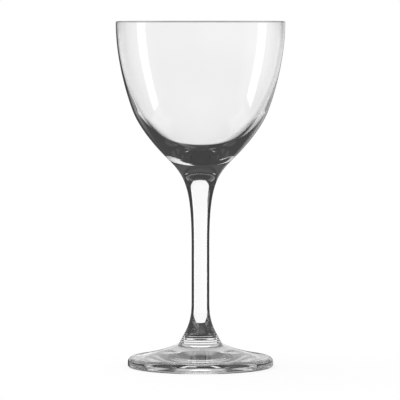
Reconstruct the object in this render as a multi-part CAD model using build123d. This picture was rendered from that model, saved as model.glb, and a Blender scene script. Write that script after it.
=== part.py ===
from build123d import *
from math import cos, radians, sin
import os

# Stemmed cocktail glass: a deep tulip bowl, a drawn stem and a low pressed foot, fused hot end to end.
# Millimetres. The origin is the middle of the table face under the foot, and +Z runs up the axis.

# Heights of the three pieces, from the table up
foot_height = 10.6
stem_length = 79.9
bowl_height = 61.5

# Bowl: round lip, straight side, then a turn in towards the stem
rim_radius = 37.15
rim_wall = 0.85
turn_radius = 29.45
turn_rise = 21.5
turn_wall = 2.2
base_wall = 1.8

# Stem: flare under the bowl, plain shank, flare on to the foot
weld_radius = 13.3
bowl_flare_length = 37.8
shank_radius = 3.9
foot_flare_length = 17.7
seat_radius = 9.2

# Foot: low cone, a rounded edge with a plumb band, a flat ring to stand on and a shallow hollow inside it
foot_radius = 32.0
edge_top_radius = 2.3
edge_band = 1.1
edge_bottom_radius = 1.0
bearing_width = 4.0
hollow_rise = 1.6

# Leans of the outline from plumb, in degrees, going down: outward is positive
turn_lean = -22.5
inner_turn_lean = -26.5
weld_lean = -45.5
seat_lean = 25.0
cone_lean = 54.0
edge_lean = 80.0
level = 90.0
plumb = 0.0

# How long each curve holds its direction, top end then foot end, as a share of its own reach
side_pull = (0.473, 0.065)
belly_pull = (0.376, 0.168)
inner_side_pull = (0.405, 0.275)
inner_belly_pull = (0.28, 0.31)
bowl_flare_pull = (0.277, 0.577)
foot_flare_pull = (0.542, 0.294)
cone_pull = (0.17, 0.5)

# Heights of the two welds and of the rim
seat_height = foot_height
weld_height = seat_height + stem_length
rim_height = weld_height + bowl_height


def step_down(lean):
    """One unit of travel downwards along a line that leans from plumb."""
    return Vector(sin(radians(lean)), -cos(radians(lean)))


def flow(start, start_lean, end, end_lean, pull):
    """Smooth curve from start down to end that keeps the given lean at each end."""
    reach = (end - start).length
    start_handle = start + step_down(start_lean) * reach * pull[0]
    end_handle = end - step_down(end_lean) * reach * pull[1]
    return Bezier(start, start_handle, end_handle, end)


def turned(*edges):
    """Solid of revolution about Z of a closed half section drawn as radius and height."""
    return revolve(Plane.XZ * make_face(edges), Axis.Z)


# Points where two pieces meet, shared by both
weld = Vector(weld_radius, weld_height)
weld_middle = Vector(0, weld_height)
seat = Vector(seat_radius, seat_height)
seat_middle = Vector(0, seat_height)


def make_bowl():
    """Open vessel whose wall thickens from the lip down to a solid base over the weld."""
    lip_radius = rim_wall / 2
    lip_height = rim_height - lip_radius
    lip_outside = Vector(rim_radius, lip_height)
    lip_top = Vector(rim_radius - lip_radius, rim_height)
    lip_inside = Vector(rim_radius - rim_wall, lip_height)
    turn = Vector(turn_radius, weld_height + turn_rise)
    inner_turn = turn + step_down(turn_lean - level) * turn_wall
    floor = Vector(0, weld_height + base_wall)
    return turned(
        flow(lip_outside, plumb, turn, turn_lean, side_pull),
        flow(turn, turn_lean, weld, weld_lean, belly_pull),
        Line(weld, weld_middle),
        Line(weld_middle, floor),
        flow(inner_turn, inner_turn_lean, floor, -level, inner_belly_pull),
        flow(lip_inside, plumb, inner_turn, inner_turn_lean, inner_side_pull),
        ThreePointArc(lip_inside, lip_top, lip_outside),
    )


def make_stem():
    """Drawn stem: the flare that carries the bowl, a plain shank and the flare on to the foot."""
    shank_top = Vector(shank_radius, weld_height - bowl_flare_length)
    shank_foot = Vector(shank_radius, seat_height + foot_flare_length)
    return turned(
        flow(weld, weld_lean, shank_top, plumb, bowl_flare_pull),
        Line(shank_top, shank_foot),
        flow(shank_foot, plumb, seat, seat_lean, foot_flare_pull),
        Line(seat, seat_middle),
        Line(seat_middle, weld_middle),
        Line(weld_middle, weld),
    )


def make_foot():
    """Pressed disc: low cone up to the stem's seat, rounded edge, flat bearing ring and shallow hollow."""
    band_foot = Vector(foot_radius, edge_bottom_radius)
    band_top = band_foot + Vector(0, edge_band)
    edge_top = band_top + Vector(-edge_top_radius, 0) + step_down(edge_lean + level) * edge_top_radius
    bearing_outside = Vector(foot_radius - edge_bottom_radius, 0)
    bearing_inside = bearing_outside - Vector(bearing_width, 0)
    hollow_middle = Vector(0, hollow_rise)
    return turned(
        flow(seat, cone_lean, edge_top, edge_lean, cone_pull),
        TangentArc(edge_top, band_top, tangent=step_down(edge_lean)),
        Line(band_top, band_foot),
        TangentArc(band_foot, bearing_outside, tangent=step_down(plumb)),
        Line(bearing_outside, bearing_inside),
        TangentArc(hollow_middle, bearing_inside, tangent=step_down(level)),
        Line(hollow_middle, seat_middle),
        Line(seat_middle, seat),
    )


os.makedirs("parts", exist_ok=True)
for name, piece in (("bowl", make_bowl()), ("stem", make_stem()), ("foot", make_foot())):
    export_step(piece, f"parts/{name}.step")
    print(name, "volume", round(piece.volume), "mm3")
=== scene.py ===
# %% [markdown]
# This lesson dresses a stemmed cocktail glass. The real one is three pieces of clear glass fused hot, end
# to end: a blown bowl, a drawn stem and a pressed foot. Everything here is in metres, in the frame of the
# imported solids, with the table at z = 0 and the glass's axis along z.

# %% Load the frame
import math
import bpy
import numpy as np
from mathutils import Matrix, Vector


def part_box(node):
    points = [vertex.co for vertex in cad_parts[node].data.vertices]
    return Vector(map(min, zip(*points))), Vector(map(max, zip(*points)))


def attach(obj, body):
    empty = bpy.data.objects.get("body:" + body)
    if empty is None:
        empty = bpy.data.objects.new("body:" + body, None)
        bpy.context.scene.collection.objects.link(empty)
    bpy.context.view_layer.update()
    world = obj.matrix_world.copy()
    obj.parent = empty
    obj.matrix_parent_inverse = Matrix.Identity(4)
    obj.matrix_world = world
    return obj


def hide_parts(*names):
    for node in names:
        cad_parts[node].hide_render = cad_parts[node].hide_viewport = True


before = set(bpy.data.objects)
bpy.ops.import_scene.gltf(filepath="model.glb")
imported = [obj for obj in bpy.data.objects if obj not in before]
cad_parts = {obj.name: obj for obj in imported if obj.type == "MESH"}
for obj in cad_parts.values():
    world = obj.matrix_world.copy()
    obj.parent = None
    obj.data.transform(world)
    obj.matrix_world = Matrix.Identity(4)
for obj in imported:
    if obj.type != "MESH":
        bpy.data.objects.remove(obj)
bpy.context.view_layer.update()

# %% [markdown]
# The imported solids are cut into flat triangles. That is fine for an opaque part, but clear glass bends
# what is behind it at every facet, so each piece is made again here as a fine, smooth surface of
# revolution. The heights and the widest radii are read from the solids, so that the two stay in step. The
# maker's other sizes are given with the piece that needs them first.

# %% Sizes of the solids
mm = 0.001
rim_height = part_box("bowl")[1].z
weld_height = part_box("bowl")[0].z
seat_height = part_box("foot")[1].z
rim_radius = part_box("bowl")[1].x
weld_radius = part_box("stem")[1].x
foot_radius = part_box("foot")[1].x
widest = np.array([rim_radius, weld_radius, foot_radius])
print("rim, weld and foot radius in mm", np.round(widest / mm, 2))

# %% [markdown]
# A glassmaker's outline has no corners except at a weld: it leaves one point along a line and comes into
# the next along another. A cubic curve with two handles does the same, so `flow` draws every free stretch
# of the outline, and arcs and straight lines draw the rest. A point is a pair of radius and height. A lean
# is an angle from plumb in degrees, going down, with outward as positive.

# %% Curves of the outline
plumb = 0.0
level = 90.0


def point(radius, height):
    """A point of the half section."""
    return np.array([radius, height])


def step_down(lean):
    """One unit of travel downwards along a line that leans from plumb: (sin lean, -cos lean)."""
    return np.array([math.sin(math.radians(lean)), -math.cos(math.radians(lean))])


def flow(start, start_lean, end, end_lean, pull, steps):
    """Cubic curve from start down to end, with handles along each end's lean, pull times the reach away."""
    reach = np.linalg.norm(end - start)
    start_handle = start + step_down(start_lean) * reach * pull[0]
    end_handle = end - step_down(end_lean) * reach * pull[1]
    t = np.linspace(0.0, 1.0, steps + 1)[:, None]
    return ((1 - t) ** 3 * start + 3 * (1 - t) ** 2 * t * start_handle
            + 3 * (1 - t) * t ** 2 * end_handle + t ** 3 * end)


def arc(centre, radius, first, last, steps):
    """Round stretch about a centre: radius times (cos a, sin a), with a in degrees from first to last."""
    a = np.radians(np.linspace(first, last, steps + 1))[:, None]
    return centre + radius * np.hstack([np.cos(a), np.sin(a)])


def straight(start, end, steps):
    """Points at even spacing on the line from start to end."""
    return start + (end - start) * np.linspace(0.0, 1.0, steps + 1)[:, None]


def joined(*stretches):
    """One outline from stretches that end where the next begins, with each shared point kept once."""
    return np.vstack([stretches[0]] + [stretch[1:] for stretch in stretches[1:]])


# %% [markdown]
# A lathe shape is an outline swept round the axis. Every outline point (r, z) becomes a ring (r cos a, r
# sin a, z), and points on the axis become single poles, so the mesh closes without doubled points. The
# outline is drawn from the upper pole to the lower one with the glass on its right, which makes the faces
# point out of the glass. A ring of faces that lies against the next piece is a weld: it gets its own
# material slot.

# %% Lathe
turns = 240
corner_angle = math.radians(20)


def lathe(name, outline, weld_rows, finish, weld_finish):
    """Surface of revolution: ring i, place j is (r_i cos a_j, r_i sin a_j, z_i), with a pole at each end."""
    radius, height = outline[1:-1].T
    angle = np.arange(turns) * 2 * np.pi / turns
    rings = np.stack([np.outer(radius, np.cos(angle)), np.outer(radius, np.sin(angle)),
                      np.repeat(height[:, None], turns, axis=1)], axis=-1).reshape(-1, 3)
    poles = np.array([[0, 0, outline[0, 1]], [0, 0, outline[-1, 1]]])
    places = np.vstack([rings, poles])
    count = len(radius)
    here = np.arange(count * turns).reshape(count, turns)
    beside = np.roll(here, -1, axis=1)
    quads = np.stack([here[:-1], here[1:], beside[1:], beside[:-1]], axis=-1).reshape(-1, 4)
    upper_fan = np.stack([np.full(turns, count * turns), here[0], beside[0]], axis=-1)
    lower_fan = np.stack([here[-1], np.full(turns, count * turns + 1), beside[-1]], axis=-1)
    mesh = bpy.data.meshes.new(name)
    mesh.from_pydata(places, [], upper_fan.tolist() + quads.tolist() + lower_fan.tolist())
    mesh.polygons.foreach_set("use_smooth", np.ones(len(mesh.polygons), bool))
    row = np.repeat(np.arange(count + 1), turns)
    mesh.materials.append(finish)
    mesh.materials.append(weld_finish)
    mesh.polygons.foreach_set("material_index", np.isin(row, weld_rows).astype(np.int32))
    mesh.set_sharp_from_angle(angle=corner_angle)
    mesh.validate()
    piece = bpy.data.objects.new(name, mesh)
    bpy.context.scene.collection.objects.link(piece)
    print(name, "triangles", 2 * len(quads) + 2 * turns, "box mm", np.round(places.max(0) / mm, 2))
    return piece


# %% [markdown]
# Shader maths reads best as plain expressions. `Wire` holds one output of a node tree; adding,
# subtracting, multiplying or dividing wires adds the Math nodes, `ramp` is a smooth step, and `node` adds
# any other kind of node.

# %% Shader maths
class Wire:
    """An output socket in a node tree. Arithmetic on it adds Math nodes."""

    def __init__(self, tree, socket=None):
        self.tree = tree
        self.socket = socket

    def node(self, kind, settings=None, sockets=None, out=0):
        """Adds a node of a kind: its settings are set first, then its sockets get values or wires."""
        made = self.tree.nodes.new(kind)
        for name, value in (settings or {}).items():
            setattr(made, name, value)
        for name, value in (sockets or {}).items():
            if isinstance(value, Wire):
                self.tree.links.new(value.socket, made.inputs[name])
            else:
                made.inputs[name].default_value = value
        return Wire(self.tree, made.outputs[out] if made.outputs else None)

    def math(self, operation, *values):
        """A Math node on up to three values or wires."""
        return self.node("ShaderNodeMath", {"operation": operation}, dict(enumerate(values)))

    def ramp(self, low, high, low_value=0.0, high_value=1.0):
        """Smooth step of this wire: low_value up to low, high_value from high on, and 3t^2 - 2t^3 between."""
        return self.node("ShaderNodeMapRange", {"interpolation_type": "SMOOTHSTEP"},
                         {"Value": self, "From Min": low, "From Max": high,
                          "To Min": low_value, "To Max": high_value})

    def __add__(self, other):
        return self.math("ADD", self, other)

    def __sub__(self, other):
        return self.math("SUBTRACT", self, other)

    def __rsub__(self, other):
        return self.math("SUBTRACT", other, self)

    def __mul__(self, other):
        return self.math("MULTIPLY", self, other)

    def __truediv__(self, other):
        return self.math("DIVIDE", self, other)

    def __abs__(self):
        return self.math("ABSOLUTE", self)

    __radd__ = __add__
    __rmul__ = __mul__


# %% [markdown]
# Every material here starts from an empty node tree and ends in one output. A few parts come up again and
# again: the place of a point on its own object, what the Light Path node knows about a ray, a plain glow,
# and a surface that light passes as if it weren't there.

# %% Parts of materials
white = (1.0, 1.0, 1.0, 1.0)


def blank_material(name):
    """A material with an empty node tree, and a wire to draw in it."""
    material = bpy.data.materials.new(name)
    material.use_nodes = True
    material.node_tree.nodes.clear()
    return material, Wire(material.node_tree)


def own_place(pen):
    """Coordinates on the object itself, as one vector."""
    return pen.node("ShaderNodeTexCoord", out="Object")


def part_of(pen, vector, axis):
    """One coordinate of a vector, named by its axis."""
    return pen.node("ShaderNodeSeparateXYZ", sockets={"Vector": vector}, out=axis)


def ray(pen, fact):
    """What the Light Path node knows about the ray that arrives."""
    return pen.node("ShaderNodeLightPath", out=fact)


def glowing(pen, strength):
    """Shader that gives white light."""
    return pen.node("ShaderNodeEmission", sockets={"Color": white, "Strength": strength})


def unseen(pen):
    """Shader that lets light straight through."""
    return pen.node("ShaderNodeBsdfTransparent", sockets={"Color": white})


def mixed(pen, share, first, second):
    """Shader that is the first where the share is 0 and the second where it is 1."""
    return pen.node("ShaderNodeMixShader", sockets={0: share, 1: first, 2: second})


def put_out(pen, shader):
    """Makes a shader the surface of its material."""
    pen.node("ShaderNodeOutputMaterial", sockets={"Surface": shader})


# %% [markdown]
# Clear soda-lime glass is a Principled shader with full transmission and a refractive index of about
# 1.52. Three things keep it from looking like a computer's glass. First, the surface is never quite true:
# a blown bowl has faint rings, a drawn stem has long lines and a pressed foot has a chilled skin, all a
# few micrometres high, and the tool that shapes the joint leaves fine rings on the stem just above the
# foot. Second, the top of the lip gets a painted shade: a grey in the glass's colour that draws the dark
# line along the rim, where real glass gets its dark line from the way the rim bends light. Third, a shadow
# ray goes straight through with only part of its light lost, so the table gets a pale shadow.

# %% Glass
glass_index = 1.52
glass_tint = 0.994
relief_detail = 2.0
groove_spacing = 0.85 * mm
groove_reach = 6.0 * mm
groove_fade = 0.8
groove_sharpness = 10.0
# the band at the top of the lip that carries a painted shade
lip_shade_foot = rim_height - 0.9 * mm
lip_shade_top = rim_height - 0.3 * mm
shadow_tint = (0.9, 0.9, 0.9, 1.0)


def clear_glass(name, stretch, waviness, grooves=0.0, lip_shade=1.0):
    """Glass whose skin has soft relief: noise on Object coordinates times stretch, waviness metres high.

    Rings are cut in by grooves times |cos(pi rise / spacing)| to a sharp power, up to a reach above the seat.
    The tint is even up to the lip and goes over to the lip's painted shade there, a grey that draws the rim's
    dark line.
    """
    material, pen = blank_material(name)
    place = own_place(pen)
    stretched = pen.node("ShaderNodeMapping", sockets={"Vector": place, "Scale": stretch})
    noise = pen.node("ShaderNodeTexNoise", sockets={
        "Vector": stretched, "Scale": 1.0, "Detail": relief_detail})
    height = part_of(pen, place, "Z")
    rise = height - seat_height
    wave = abs(pen.math("COSINE", rise * (math.pi / groove_spacing)))
    near_seat = rise.ramp(groove_reach * groove_fade, groove_reach, 1.0, 0.0)
    rings = pen.math("POWER", wave, groove_sharpness) * near_seat
    relief = noise * waviness - rings * grooves
    skin = pen.node("ShaderNodeBump", sockets={"Height": relief, "Strength": 1.0, "Distance": 1.0})
    # painted shade: near the rim the colour goes from the glass's tint to the lip's grey
    tint_and_lip_shade = height.ramp(lip_shade_foot, lip_shade_top, glass_tint, lip_shade)
    tint = pen.node("ShaderNodeCombineColor", sockets={"Red": tint_and_lip_shade, "Green": tint_and_lip_shade, "Blue": tint_and_lip_shade})
    glass = pen.node("ShaderNodeBsdfPrincipled", sockets={
        "Base Color": tint, "Roughness": 0.0, "IOR": glass_index, "Transmission Weight": 1.0, "Normal": skin})
    pale = pen.node("ShaderNodeBsdfTransparent", sockets={"Color": shadow_tint})
    put_out(pen, mixed(pen, ray(pen, "Is Shadow Ray"), glass, pale))
    return material


# %% [markdown]
# The three finishes differ in how the noise is stretched and how high it is. A large number squeezes the
# pattern along that axis: the bowl's rings are flat in z, and the stem's lines are long in z. Inside a
# weld two pieces are one glass, so the faces there let light straight through.

# %% Finishes
micrometre = 1e-6
ring_stretch = (40.0, 40.0, 260.0)
ring_waviness = 1.5 * micrometre
# painted shade: the grey at the top of the bowl's lip, which draws the rim's dark line
painted_lip_shade = 0.65
line_stretch = (420.0, 420.0, 18.0)
line_waviness = 2.0 * micrometre
groove_depth = 0.025 * mm
chill_stretch = (150.0, 150.0, 150.0)
chill_waviness = 3.0 * micrometre

blown = clear_glass("blown_glass", ring_stretch, ring_waviness, lip_shade=painted_lip_shade)
drawn = clear_glass("drawn_glass", line_stretch, line_waviness, grooves=groove_depth)
pressed = clear_glass("pressed_glass", chill_stretch, chill_waviness)
fused, pen = blank_material("fused_weld")
put_out(pen, unseen(pen))
print("finishes", blown.name, drawn.name, pressed.name, "and", fused.name)

# %% [markdown]
# The bowl is blown into a mould. Its wall is thinnest at the fire-polished lip and thickens towards the
# base, so its inside and outside are two different outlines that meet over the round lip. A pull is how
# long a curve holds its direction at its upper and lower end, as a share of its reach.

# %% Bowl
rim_wall = 0.85 * mm
turn_radius = 29.45 * mm
turn_rise = 21.5 * mm
turn_wall = 2.2 * mm
base_wall = 1.8 * mm
turn_lean = -22.5
inner_turn_lean = -26.5
weld_lean = -45.5
side_pull = (0.473, 0.065)
belly_pull = (0.376, 0.168)
inner_side_pull = (0.405, 0.275)
inner_belly_pull = (0.28, 0.31)
wall_rows = 80
floor_rows = 90
lip_rows = 16
half_turn = 180.0


def bowl_outline():
    """Inside floor to lip, over the lip, down the outside to the weld and across the weld to the axis."""
    lip_radius = rim_wall / 2
    lip_height = rim_height - lip_radius
    lip_centre = point(rim_radius - lip_radius, lip_height)
    lip_outside = point(rim_radius, lip_height)
    lip_inside = point(rim_radius - rim_wall, lip_height)
    turn = point(turn_radius, weld_height + turn_rise)
    inner_turn = turn + step_down(turn_lean - level) * turn_wall
    floor = point(0.0, weld_height + base_wall)
    weld = point(weld_radius, weld_height)
    return joined(
        flow(inner_turn, inner_turn_lean, floor, -level, inner_belly_pull, floor_rows)[::-1],
        flow(lip_inside, plumb, inner_turn, inner_turn_lean, inner_side_pull, wall_rows)[::-1],
        arc(lip_centre, lip_radius, half_turn, 0.0, lip_rows),
        flow(lip_outside, plumb, turn, turn_lean, side_pull, wall_rows),
        flow(turn, turn_lean, weld, weld_lean, belly_pull, wall_rows),
        straight(weld, point(0.0, weld_height), 1))


outline = bowl_outline()
bowl = lathe("bowl_glass", outline, [len(outline) - 2], blown, fused)
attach(bowl, "root")
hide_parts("bowl")

# %% [markdown]
# The stem is drawn out of a gob while it is soft: it flares up into the bowl, runs plain, and flares on
# to the foot. It could be a tube with two cones, but the eye finds every change of slope in clear glass,
# so each flare is one smooth curve that ends plumb on the shank. Both of its ends are welds.

# %% Stem
bowl_flare_length = 37.8 * mm
shank_radius = 3.9 * mm
foot_flare_length = 17.7 * mm
seat_radius = 9.2 * mm
seat_lean = 25.0
bowl_flare_pull = (0.277, 0.577)
foot_flare_pull = (0.542, 0.294)
bowl_flare_rows = 100
shank_rows = 30
foot_flare_rows = 90


def stem_outline():
    """Axis to the upper weld's edge, down the stem and across the lower weld to the axis."""
    weld = point(weld_radius, weld_height)
    shank_top = point(shank_radius, weld_height - bowl_flare_length)
    shank_foot = point(shank_radius, seat_height + foot_flare_length)
    seat = point(seat_radius, seat_height)
    return joined(
        straight(point(0.0, weld_height), weld, 1),
        flow(weld, weld_lean, shank_top, plumb, bowl_flare_pull, bowl_flare_rows),
        straight(shank_top, shank_foot, shank_rows),
        flow(shank_foot, plumb, seat, seat_lean, foot_flare_pull, foot_flare_rows),
        straight(seat, point(0.0, seat_height), 1))


outline = stem_outline()
stem = lathe("stem_glass", outline, [0, len(outline) - 2], drawn, fused)
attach(stem, "root")
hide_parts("stem")

# %% [markdown]
# The foot is pressed: a low cone with a rounded edge, a flat ring that it stands on and a shallow hollow
# inside the ring, which keeps it from rocking. The hollow is part of a large ball, whose radius follows
# from its width and rise.

# %% Foot
edge_top_radius = 2.3 * mm
edge_band = 1.1 * mm
edge_bottom_radius = 1.0 * mm
bearing_width = 4.0 * mm
hollow_rise = 1.6 * mm
cone_lean = 54.0
edge_lean = 80.0
cone_pull = (0.17, 0.5)
cone_rows = 120
edge_rows = 24
band_rows = 4
bottom_rows = 16
ring_rows = 6
hollow_rows = 60
quarter_turn = 90.0


def foot_outline():
    """Axis across the weld to the seat, down the cone, round the edge, along the ring and up the hollow."""
    seat = point(seat_radius, seat_height)
    band_foot = point(foot_radius, edge_bottom_radius)
    band_top = band_foot + point(0.0, edge_band)
    top_centre = band_top - point(edge_top_radius, 0.0)
    edge_top = top_centre + step_down(edge_lean + level) * edge_top_radius
    ring_outside = point(foot_radius - edge_bottom_radius, 0.0)
    ring_inside = ring_outside - point(bearing_width, 0.0)
    bottom_centre = ring_outside + point(0.0, edge_bottom_radius)
    hollow_radius = (ring_inside[0] ** 2 + hollow_rise ** 2) / (2 * hollow_rise)
    hollow_reach = math.degrees(math.asin(ring_inside[0] / hollow_radius))
    hollow_centre = point(0.0, hollow_rise - hollow_radius)
    return joined(
        straight(point(0.0, seat_height), seat, 1),
        flow(seat, cone_lean, edge_top, edge_lean, cone_pull, cone_rows),
        arc(top_centre, edge_top_radius, edge_lean, 0.0, edge_rows),
        straight(band_top, band_foot, band_rows),
        arc(bottom_centre, edge_bottom_radius, 0.0, -quarter_turn, bottom_rows),
        straight(ring_outside, ring_inside, ring_rows),
        arc(hollow_centre, hollow_radius, quarter_turn - hollow_reach, quarter_turn, hollow_rows))


outline = foot_outline()
foot = lathe("foot_glass", outline, [0], pressed, fused)
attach(foot, "root")
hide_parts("foot")

# %% [markdown]
# The camera stands far off, level with the rim, and looks slightly down. A long lens keeps the sides
# upright.

# %% Camera
camera_place = np.array([-0.0002, -1.404, 0.1543])
camera_aim = np.array([-0.0002, 0.0, 0.07346])
camera_lens = 288.0
camera_sensor = 36.0

lens = bpy.data.cameras.new("camera")
lens.lens = camera_lens
lens.sensor_width = camera_sensor
camera = bpy.data.objects.new("camera", lens)
bpy.context.scene.collection.objects.link(camera)
sight = camera_aim - camera_place
sight_length = np.linalg.norm(sight)
camera.location = camera_place
camera.rotation_euler = (math.pi / 2 + math.asin(sight[2] / sight_length), 0.0, 0.0)
bpy.context.scene.camera = camera
print("camera", round(sight_length, 3), "m away")

# %% [markdown]
# Glass has no colour of its own to light: it shows what stands around it. A photographer sets it before a
# bright white sheet and keeps everything at the sides dark, so that the thick edges, which bend the view
# sideways, draw the shape in dark lines. Lamps and sheets could be set up here as in a studio, but each
# of them would then show in every part of the glass. So the sheets of this set are meshes with a glow,
# and each one chooses the rays that see it.

# %% Sheets of the set
def set_visible(thing, **kinds):
    """Switches the ray kinds that see a thing of the set; the kinds that aren't named are off."""
    for kind in ("camera", "diffuse", "glossy", "transmission", "volume_scatter", "shadow"):
        setattr(thing, "visible_" + kind, kinds.get(kind, False))


def card(name, places, faces, material):
    """A sheet of the set for the glass to look at."""
    mesh = bpy.data.meshes.new(name)
    mesh.from_pydata(places, [], faces)
    mesh.materials.append(material)
    sheet = bpy.data.objects.new(name, mesh)
    bpy.context.scene.collection.objects.link(sheet)
    print("staged", name, "with", len(faces), "faces")
    return sheet


# %% [markdown]
# The largest sheet is a tent: a ball of cloth round the glass that is fixed to the camera, so the light
# stays the same when the glass is turned. A place on the ball is a direction. `heading` is its angle
# sideways from straight behind the glass, with right as positive, and `rise` its angle upwards. The
# cloth's glow is made of smooth steps in these two angles, which is quicker to change than a painted
# picture and needs no file.

# %% Directions on the tent
tent_radius = 4.0
degrees = 180 / math.pi


def directions(pen):
    """Heading and rise in degrees, from a place (x, y, z) on the ball: atan2(x, -z) and asin(y / radius)."""
    place = own_place(pen)
    heading = pen.math("ARCTAN2", part_of(pen, place, "X"), part_of(pen, place, "Z") * -1.0) * degrees
    rise = pen.math("ARCSINE", part_of(pen, place, "Y") / tent_radius) * degrees
    return heading, rise


def band(value, low, high, blur):
    """1 between low and high, 0 outside, with each edge blurred by that much to both sides."""
    return value.ramp(low - blur, low + blur) * value.ramp(high - blur, high + blur, 1.0, 0.0)


# %% [markdown]
# Three kinds of light come from clear glass, and the Light Path node can tell them apart by counting.
# Light off the skin has never entered the glass, so its Transmission Depth is 0. Light that came straight
# through has entered and was never mirrored, so its Glossy Depth is 0. Light that a face turned back
# inside the glass has counted both. With one cloth for all three, the bright sheet behind the glass would
# also fill its thick dark base. So the cloth has a glow for each kind.

# %% Kinds of light
def ray_kind(pen):
    """Two switches, 0 or 1: the ray has entered the glass, and a face of the glass has turned it back."""
    entered = pen.math("MINIMUM", ray(pen, "Transmission Depth"), 1.0)
    mirrored = pen.math("MINIMUM", ray(pen, "Glossy Depth"), 1.0)
    return entered, mirrored


# %% [markdown]
# The light straight through comes from a window in dark cloth behind the glass. Thin walls show it almost
# unbent. Thick edges bend the view past its sides, and so the width of the window sets how wide the dark
# lines are. It is narrower towards its sill, towards its head, and on the left from just above the level
# of the eye.

# %% Window behind the glass
window_half_width = 35.5
window_blur = 1.5
sill_part = (-28.0, -12.0)
sill_loss = 18.0
head_part = (25.0, 40.0)
head_loss = 11.5
left_part = (2.0, 12.0)
left_loss = 7.0
left_edge = (-1.0, 1.0)
window_rises = (-30.0, 40.0)
window_rise_blur = 3.0
window_glow = 0.98
cloth_glow = 0.05


def light_through(heading, rise):
    """A window: |heading| below a half width that changes with the rise, and the rise between two limits."""
    half_width = window_half_width - rise.ramp(*sill_part, sill_loss, 0.0)
    half_width = half_width - rise.ramp(*head_part, 0.0, head_loss)
    half_width = half_width - rise.ramp(*left_part, 0.0, left_loss) * heading.ramp(*left_edge, 1.0, 0.0)
    window = (half_width - abs(heading)).ramp(-window_blur, window_blur)
    window = window * band(rise, *window_rises, window_rise_blur)
    return cloth_glow + window * window_glow


# %% [markdown]
# The thick base of the bowl and the two flares turn light back inside the glass, and what they show is
# the room at the sides. Two wide panels stand there for light that was turned back once. They leave a
# dark gap behind the glass, a little left of the middle, and they hang lower and dimmer the further round
# they go.

# %% Panels at the sides
gap_heading = -7.0
panel_offsets = (13.0, 105.0)
panel_blur = 2.0
panel_sill_turns = (28.0, 45.0)
panel_sills = (-25.0, -45.0)
panel_sill_blur = 4.0
panel_head = (25.0, 35.0)
panel_fall = (28.0, 46.0)
panel_glows = (0.95, 0.38)


def side_panels(heading, rise):
    """Bright between two angles from the gap, above a sill that sinks with |heading| and below a head."""
    turn = abs(heading)
    offset = abs(heading - gap_heading)
    sill = turn.ramp(*panel_sill_turns, *panel_sills)
    panels = (rise - sill).ramp(-panel_sill_blur, panel_sill_blur) * rise.ramp(*panel_head, 1.0, 0.0)
    panels = panels * band(offset, *panel_offsets, panel_blur)
    return panels * turn.ramp(*panel_fall, *panel_glows)


# %% [markdown]
# Weaker light comes from other places. A soft ceiling and a patch low down on the camera's side are seen
# by light that was turned back once. Light that was turned back twice makes two small spots under the
# bowl's floor, so two patches are kept for it, and all light that was turned back more than once sees a
# faint sky.

# %% Light turned back
ceiling_foot = (29.0, 35.0)
ceiling_head = (45.0, 60.0)
ceiling_fall = (20.0, 45.0)
ceiling_glows = (0.35, 0.12)
low_patch_rises = (-55.0, -40.0)
low_patch_turns = (140.0, 160.0)
low_patch_glow = 0.12
spot_turns = (29.0, 38.0)
spot_turn_blur = 2.0
spot_rises = (20.0, 34.0)
spot_rise_blur = 3.0
spot_glow = 0.7
sky_rises = (33.0, 80.0)
sky_blur = 5.0
sky_glow = 0.035
inner_glow = 0.055
once_edge = (1.4, 1.6)
twice_counts = (1.5, 2.5)
twice_blur = 0.1


def light_turned_back(pen, heading, rise):
    """Panels, ceiling and low patch after one turn, spots and sky after more, all on an even dim glow."""
    turn = abs(heading)
    count = ray(pen, "Glossy Depth")
    once = count.ramp(*once_edge, 1.0, 0.0)
    panels = side_panels(heading, rise) * once
    ceiling = rise.ramp(*ceiling_foot) * rise.ramp(*ceiling_head, 1.0, 0.0)
    ceiling = ceiling * turn.ramp(*ceiling_fall, *ceiling_glows) * once
    low_patch = rise.ramp(*low_patch_rises, 1.0, 0.0) * once
    low_patch = low_patch * turn.ramp(*low_patch_turns, 0.0, low_patch_glow)
    spots = band(turn, *spot_turns, spot_turn_blur) * band(rise, *spot_rises, spot_rise_blur)
    spots = spots * band(count, *twice_counts, twice_blur) * spot_glow
    sky = band(rise, *sky_rises, sky_blur) * (1 - once) * sky_glow
    return panels + ceiling + sky + spots + inner_glow + low_patch


# %% [markdown]
# The skin mirrors the set weakly, and most at a glancing angle, so its light is what lifts the walls of
# the bowl near the edges. It is bright at the sides, darker behind the glass, at the far left and low
# down. Above the level of the eye the sides are screened off, and an opening lets the light in again
# higher up.

# %% Light off the skin
skin_gap = (15.0, 25.0)
skin_glows = (0.08, 0.95)
skin_fall = (34.0, 52.0)
skin_far_glows = (0.5, 1.0)
skin_middle = (-5.0, 5.0)
skin_low_part = (-25.0, -8.0)
skin_low_glow = 0.1
aside_turns = (18.0, 28.0)
screen_rises = (-1.0, 4.0)
screen_loss = 0.75
opening_middle = (2.0, 8.0)
opening_aside = (14.0, 24.0)
opening_end = (45.0, 60.0)
skin_top_part = (38.0, 60.0)
skin_top_glow = 0.2


def light_off_skin(heading, rise):
    """Bright sides, faded low down, less a screen at the sides, plus an opening above, faded at the top."""
    turn = abs(heading)
    offset = abs(heading - gap_heading)
    aside = turn.ramp(*aside_turns)
    far_glow = heading.ramp(*skin_middle, *skin_far_glows)
    glow = offset.ramp(*skin_gap, *skin_glows) * turn.ramp(*skin_fall, 1.0, far_glow)
    glow = skin_low_glow + (glow - skin_low_glow) * rise.ramp(*skin_low_part)
    glow = glow * (1 - rise.ramp(*screen_rises) * aside * screen_loss)
    opening = rise.ramp(*opening_aside) * aside * turn.ramp(*opening_end, 1.0, 0.0)
    opening = rise.ramp(*opening_middle) * (1 - aside) + opening
    return (glow + (1 - glow) * opening) * rise.ramp(*skin_top_part, 1.0, skin_top_glow)


# %% [markdown]
# The cloth picks one of the three glows by the kind of ray. Only the glass sees the tent: it is hidden
# from the camera, from the floor and from shadows. It isn't used as a lamp either, because nothing else
# is lit by it.

# %% Tent
tent_across = 48
tent_upward = 24


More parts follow.
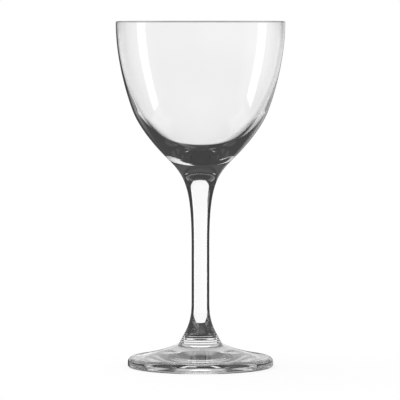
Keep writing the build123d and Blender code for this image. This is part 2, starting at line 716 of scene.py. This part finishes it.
def ball_grid(radius, across, upward):
    """Places and faces of a ball: radius times (cos e sin a, sin e, -cos e cos a), a round and e up."""
    around = np.linspace(0, 2 * np.pi, across + 1)[:-1]
    a, e = np.meshgrid(around, np.linspace(-np.pi / 2, np.pi / 2, upward + 1))
    places = radius * np.stack([np.cos(e) * np.sin(a), np.sin(e), -np.cos(e) * np.cos(a)], axis=-1)
    here = np.arange(a.size).reshape(upward + 1, across)
    beside = np.roll(here, -1, axis=1)
    faces = np.stack([here[:-1], beside[:-1], beside[1:], here[1:]], axis=-1).reshape(-1, 4)
    return places.reshape(-1, 3), faces.tolist()


def tent_cloth():
    """Cloth with a glow for light off the skin, one for light through and one for light turned back."""
    material, pen = blank_material("tent_cloth")
    heading, rise = directions(pen)
    entered, mirrored = ray_kind(pen)
    through = light_through(heading, rise)
    inside = through + (light_turned_back(pen, heading, rise) - through) * mirrored
    skin = light_off_skin(heading, rise)
    put_out(pen, glowing(pen, skin + (inside - skin) * entered))
    material.cycles.emission_sampling = "NONE"
    return material


tent = card("tent", *ball_grid(tent_radius, tent_across, tent_upward), tent_cloth())
tent.parent = camera
tent.location = (0.0, 0.0, -sight_length)
set_visible(tent, glossy=True, transmission=True)

# %% [markdown]
# The foot and the stem need things close by. These hang on a pivot on the glass's axis, which turns with
# the camera about the upright axis only, so that they stay level. Their angles are measured from straight
# behind.

# %% Pivot and curved sheets
pivot = bpy.data.objects.new("pivot", None)
bpy.context.scene.collection.objects.link(pivot)
follow = pivot.constraints.new("COPY_ROTATION")
follow.target = camera
follow.use_x = False
follow.use_y = False
print("pivot follows", follow.target.name)


def upright_curve(radius, first, last, low, high, steps):
    """Part of an upright tube about the axis: (r sin a, r cos a, z), with a in degrees and z low or high."""
    a = np.radians(np.linspace(first, last, steps + 1))
    lower = np.stack([radius * np.sin(a), radius * np.cos(a), np.full(len(a), low)], axis=-1)
    here = np.arange(steps)
    faces = np.stack([here, here + 1, here + steps + 2, here + steps + 1], axis=-1)
    return np.vstack([lower, lower + [0.0, 0.0, high - low]]), faces.tolist()


# %% [markdown]
# The foot's pattern is light that its faces turn back. A low curved wall, below the level of the table,
# gives it: it is bright straight behind and at both sides, and dark between. A small panel right behind
# the foot lights its middle. Both are meant for the foot alone. Light from the stem crosses a weld on its
# way, which Transparent Depth counts, so it gets only the dim even glow.

# %% Cards for light turned back
uncrossed_edge = (0.4, 0.6)


def within_one_piece(pen):
    """1 for light that has crossed no weld, else 0."""
    return ray(pen, "Transparent Depth").ramp(*uncrossed_edge, 1.0, 0.0)


def inner_card(name, places, faces, glow_at):
    """A card that only light turned back inside the glass sees. glow_at gives its glow at a place on it."""
    material, pen = blank_material(name)
    entered, mirrored = ray_kind(pen)
    light = glowing(pen, glow_at(pen, own_place(pen)))
    put_out(pen, mixed(pen, entered * mirrored, unseen(pen), light))
    material.cycles.emission_sampling = "NONE"
    sheet = card(name, places, faces, material)
    sheet.parent = pivot
    set_visible(sheet, transmission=True)


# %% [markdown]
# The panel is a plain upright card with one even glow. It is hardly wider than the seat, so only the
# middle of the foot looks at it.

# %% Panel behind the foot
card_right = 11 * mm
card_left = -card_right
card_back = 46 * mm
card_low = 2 * mm
card_high = 28 * mm
card_glow = 0.5


def glow_of_panel(pen, place):
    """The same at every place."""
    return within_one_piece(pen) * card_glow + inner_glow


panel_places = np.array([[card_left, card_back, card_low], [card_right, card_back, card_low],
                         [card_right, card_back, card_high], [card_left, card_back, card_high]])
inner_card("foot_panel", panel_places, [[0, 1, 2, 3]], glow_of_panel)

# %% [markdown]
# The wall's glow is a sum of stripes: one straight behind, one at each side, and a wider, weaker one
# along the bottom of the middle.

# %% Wall round the foot
wall_radius = 150 * mm
wall_low = -135 * mm
wall_high = -5 * mm
wall_reach = 110.0
wall_steps = 44
middle_stripe = (8.0, 12.0)
side_stripe = (30.0, 70.0)
side_stripe_end = (90.0, 105.0)
stripe_glow = 0.9
bottom_stripe = (18.0, 24.0)
bottom_heights = (-40 * mm, -20 * mm)
bottom_glow = 0.5
wall_glow = 0.03


def glow_of_wall(pen, place):
    """Stripes in the turn |atan2(x, y)| from straight behind: near 0, at the sides, and low in the middle."""
    turn = abs(pen.math("ARCTAN2", part_of(pen, place, "X"), part_of(pen, place, "Y"))) * degrees
    middle = turn.ramp(*middle_stripe, stripe_glow, 0.0)
    sides = turn.ramp(*side_stripe, 0.0, stripe_glow) * turn.ramp(*side_stripe_end, 1.0, 0.0)
    height = part_of(pen, place, "Z")
    bottom = turn.ramp(*bottom_stripe, bottom_glow, 0.0) * height.ramp(*bottom_heights, 1.0, 0.0)
    return (middle + sides + bottom + wall_glow) * within_one_piece(pen) + inner_glow


wall_sheet = upright_curve(wall_radius, -wall_reach, wall_reach, wall_low, wall_high, wall_steps)
inner_card("foot_wall", *wall_sheet, glow_of_wall)

# %% [markdown]
# The skin of the stem would mirror the bright sides of the tent and lose its dark outline. A photographer
# holds a strip of dark card close to each side, and these two curved shades do the same. Only mirrored
# light sees them, and a ray that has come from further off than the stem's skin passes through them, so
# they don't show in the bowl or the foot.

# %% Shades beside the stem
shade_glow = 0.03
shade_radius = 12 * mm
shade_low = 24 * mm
shade_high = 80 * mm
shade_near = 15.0
shade_far = 95.0
shade_steps = 20
shade_reach = (13 * mm, 14 * mm)

shade_cloth, pen = blank_material("shade_cloth")
close_by = ray(pen, "Ray Length").ramp(*shade_reach, 1.0, 0.0)
put_out(pen, mixed(pen, close_by, unseen(pen), glowing(pen, shade_glow)))


def stem_shade(name, first, last):
    """Curved sheet beside the stem, from the first to the last angle."""
    curve = upright_curve(shade_radius, first, last, shade_low, shade_high, shade_steps)
    sheet = card(name, *curve, shade_cloth)
    sheet.parent = pivot
    set_visible(sheet, glossy=True)


stem_shade("shade_left", -shade_far, -shade_near)
stem_shade("shade_right", shade_near, shade_far)

# %% [markdown]
# Two upright strip lights stand beside the glass. Each one draws a long bright streak down a side of the
# bowl. Their tops are just above the rim, because a taller strip would also draw streaks on the flare
# under the bowl.

# %% Strip lights
strip_distance = 0.6
strip_glow = 3.0
strip_top = 0.09
left_edges = (-78.0, -93.0)
left_foot = -0.3
right_edges = (82.0, 98.5)
right_foot = -0.25


def strip_light(name, edges, low, high):
    """Upright strip at distance d: corners (d sin a, low or high, d cos a), a from the camera's side."""
    material, pen = blank_material(name)
    put_out(pen, glowing(pen, strip_glow))
    x = strip_distance * np.sin(np.radians(edges))
    z = strip_distance * np.cos(np.radians(edges))
    places = np.array([[x[0], low, z[0]], [x[1], low, z[1]], [x[1], high, z[1]], [x[0], high, z[0]]])
    strip = card(name, places, [[0, 1, 2, 3]], material)
    strip.parent = camera
    strip.location = (0.0, 0.0, -sight_length)
    set_visible(strip, glossy=True)


strip_light("strip_left", left_edges, left_foot, strip_top)
strip_light("strip_right", right_edges, right_foot, strip_top)

# %% [markdown]
# The floor is a plain white table top. For the camera it is mostly an even white, like the room behind
# it, and partly the lit surface itself, so the glass's pale shadow stays on it.

# %% Floor
floor_reach = 4.0
floor_evenness = 0.7
floor_colour = (0.9, 0.9, 0.9, 1.0)

floor_paint, pen = blank_material("floor_paint")
lit = pen.node("ShaderNodeBsdfDiffuse", sockets={"Color": floor_colour})
evenness = ray(pen, "Is Camera Ray") * floor_evenness
put_out(pen, mixed(pen, evenness, lit, glowing(pen, 1.0)))
corners = np.array([[-1, -1, 0], [1, -1, 0], [1, 1, 0], [-1, 1, 0]]) * floor_reach
floor = card("floor", corners, [[0, 1, 2, 3]], floor_paint)
set_visible(floor, camera=True, diffuse=True, shadow=True)

# %% [markdown]
# The room is white where the camera, a mirror or the glass looks at it, and dimmer where it only gives
# light, so that the floor isn't washed out. One broad softbox adds the light that casts the shadow.

# %% Room and softbox
room_light = 0.6
sun_strength = 1.8
sun_spread = math.radians(50)
sun_turn = (math.radians(-12), math.radians(-16), 0.0)

world = bpy.data.worlds.new("white_room")
bpy.context.scene.world = world
world.use_nodes = True
world.node_tree.nodes.clear()
pen = Wire(world.node_tree)
looked_at = ray(pen, "Is Camera Ray") + ray(pen, "Is Glossy Ray") + ray(pen, "Is Transmission Ray")
strength = looked_at.ramp(0.0, 1.0, room_light, 1.0)
room = pen.node("ShaderNodeBackground", sockets={"Color": white, "Strength": strength})
pen.node("ShaderNodeOutputWorld", sockets={"Surface": room})

sun = bpy.data.lights.new("softbox", "SUN")
sun.energy = sun_strength
sun.angle = sun_spread
softbox = bpy.data.objects.new("softbox", sun)
bpy.context.scene.collection.objects.link(softbox)
softbox.rotation_euler = sun_turn
set_visible(softbox, diffuse=True)
print("room light", room_light, "softbox", sun.energy)

# %% [markdown]
# Light passes through many faces of clear glass before it comes out, so the ray limits go up from the
# defaults.

# %% Render settings
ray_limit = 32
scene = bpy.context.scene
scene.view_settings.view_transform = "Standard"
scene.cycles.max_bounces = ray_limit
scene.cycles.transmission_bounces = ray_limit
scene.cycles.glossy_bounces = ray_limit
scene.cycles.transparent_max_bounces = ray_limit
print("ray limit", ray_limit)
